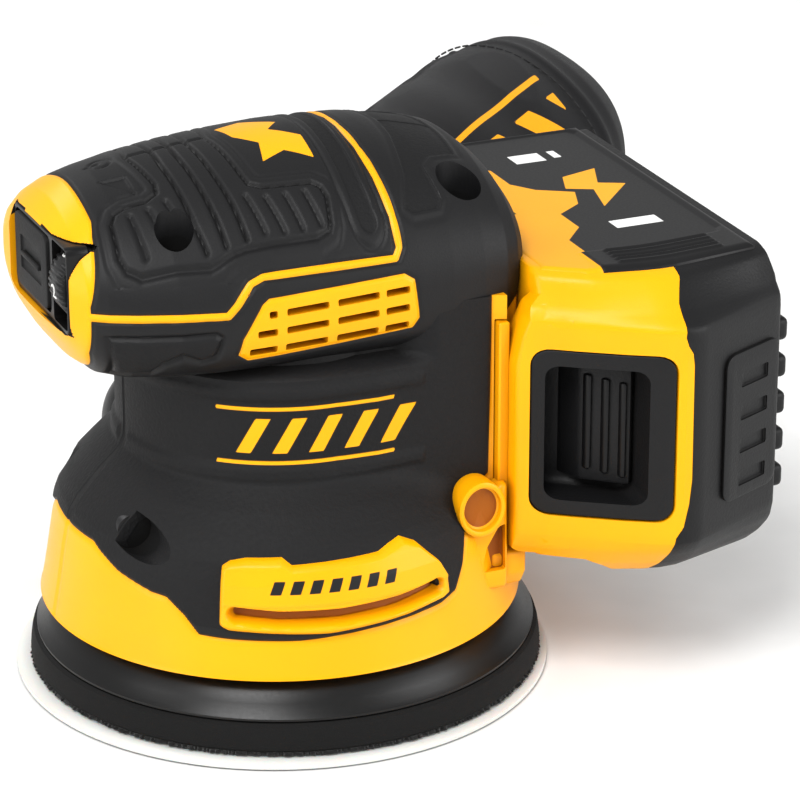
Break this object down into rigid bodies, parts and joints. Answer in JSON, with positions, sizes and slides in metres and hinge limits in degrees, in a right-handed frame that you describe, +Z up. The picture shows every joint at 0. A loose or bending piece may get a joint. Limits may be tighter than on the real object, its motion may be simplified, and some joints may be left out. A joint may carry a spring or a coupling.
{
  "type": "orbital sander",
  "caption": "Palm-grip cordless random orbital sander with round hook-backed pad, crosswise slide-on battery, front power button with speed dial, and dust bag.",
  "frame": {"origin": "motor axis where the abrasive disc meets the work", "axes": "+Z up along the motor axis, +X to the rear where the battery sits, +Y to the tool's right, the side with the dust outlet"},
  "size_m": [0.207, 0.2137, 0.1324],
  "materials": {
    "yellow_plastic": "satin moulded, fine grain",
    "black_rubber": "soft-touch overmould, fine texture",
    "black_plastic": "satin, textured",
    "foam": "closed-cell foam",
    "hook_fabric": "hook face",
    "abrasive": "film-backed abrasive with loop back",
    "bag_fabric": "twill weave",
    "steel": "machined",
    "magnet": "nickel plated",
    "alloy": "die cast",
    "copper": "bare copper",
    "circuit_board": "solder mask",
    "indicator": "tinted clear"
  },
  "bodies": {
    "housing": {"body_left": "yellow_plastic", "body_right": "yellow_plastic", "overmould_left": "black_rubber", "overmould_right": "black_rubber", "scoop_badge": "yellow_plastic", "vent_grille_left": "yellow_plastic", "vent_grille_right": "yellow_plastic", "handle_cover": "yellow_plastic", "grip_front": "black_rubber", "grip_rear": "black_rubber", "nose_cap": "yellow_plastic", "switch_bezel": "black_plastic", "brake_ring": "black_rubber", "stator": "steel", "windings": "copper", "lower_bearing_plate": "alloy", "upper_bearing_plate": "alloy", "lower_bearing": "steel", "upper_bearing": "steel", "controller": "circuit_board", "switch_module": "black_plastic", "dial_sensor": "black_plastic", "terminal_block": "black_plastic", "terminal_blades": "copper", "power_leads": "copper", "cover_screws": "steel", "body_screws": "steel", "dust_port": "black_plastic"},
    "rotor": {"motor_shaft": "steel", "rotor_core": "steel", "rotor_magnets": "magnet", "fan": "black_plastic", "eccentric_hub": "alloy", "counterweight": "steel", "pad_bearing": "steel"},
    "pad": {"pad_spindle": "steel", "backing_plate": "black_plastic", "pad_screws": "steel", "foam_pad": "foam", "hook_face": "hook_fabric", "abrasive_disc": "abrasive"},
    "power_button": {"power_button": "black_rubber"},
    "speed_dial": {"speed_dial": "black_plastic"},
    "battery": {"battery_front_shell": "yellow_plastic", "battery_rear_shell": "black_plastic", "battery_screws": "steel", "battery_cells": "alloy", "cell_plates": "black_plastic", "battery_board": "circuit_board", "battery_contacts": "copper", "gauge_lights": "indicator"},
    "release_button": {"release_button": "black_plastic", "release_latch": "black_plastic"},
    "gauge_button": {"gauge_button": "black_plastic"},
    "bag": {"bag_collar": "black_plastic", "dust_bag": "bag_fabric"},
    "lock_ring": {"lock_ring": "black_plastic"}
  },
  "joints": [
    {"name": "motor_spin", "type": "hinge", "parent": "housing", "child": "rotor", "pos_m": [0, 0, 0.05], "axis": [0, 0, 1], "continuous": true},
    {"name": "pad_spin", "type": "hinge", "parent": "rotor", "child": "pad", "pos_m": [0.00125, 0, 0.024], "axis": [0, 0, 1], "continuous": true},
    {"name": "button_press", "type": "slide", "parent": "housing", "child": "power_button", "axis": [1, 0, 0], "range_m": [0, 0.0012], "stiffness_N_per_m": 900, "springref_m": -0.0006},
    {"name": "dial_turn", "type": "hinge", "parent": "housing", "child": "speed_dial", "pos_m": [-0.0502, -0.0172, 0.107], "axis": [0, 1, 0], "range_deg": [-150, 150]},
    {"name": "battery_slide", "type": "slide", "parent": "housing", "child": "battery", "axis": [0, -1, 0], "range_m": [0, 0.12]},
    {"name": "release_press", "type": "slide", "parent": "battery", "child": "release_button", "axis": [0, 1, 0], "range_m": [0, 0.0015], "stiffness_N_per_m": 900, "springref_m": -0.0006},
    {"name": "gauge_press", "type": "slide", "parent": "battery", "child": "gauge_button", "axis": [0, -1, 0], "range_m": [0, 0.0008], "stiffness_N_per_m": 600, "springref_m": -0.0006},
    {"name": "bag_pull", "type": "slide", "parent": "housing", "child": "bag", "axis": [0.866, 0.445, 0.228], "range_m": [0, 0.05]},
    {"name": "lock_turn", "type": "hinge", "parent": "bag", "child": "lock_ring", "pos_m": [0.02779, 0.072, 0.05055], "axis": [0.866, 0.445, 0.228], "range_deg": [0, 40]}
  ]
}
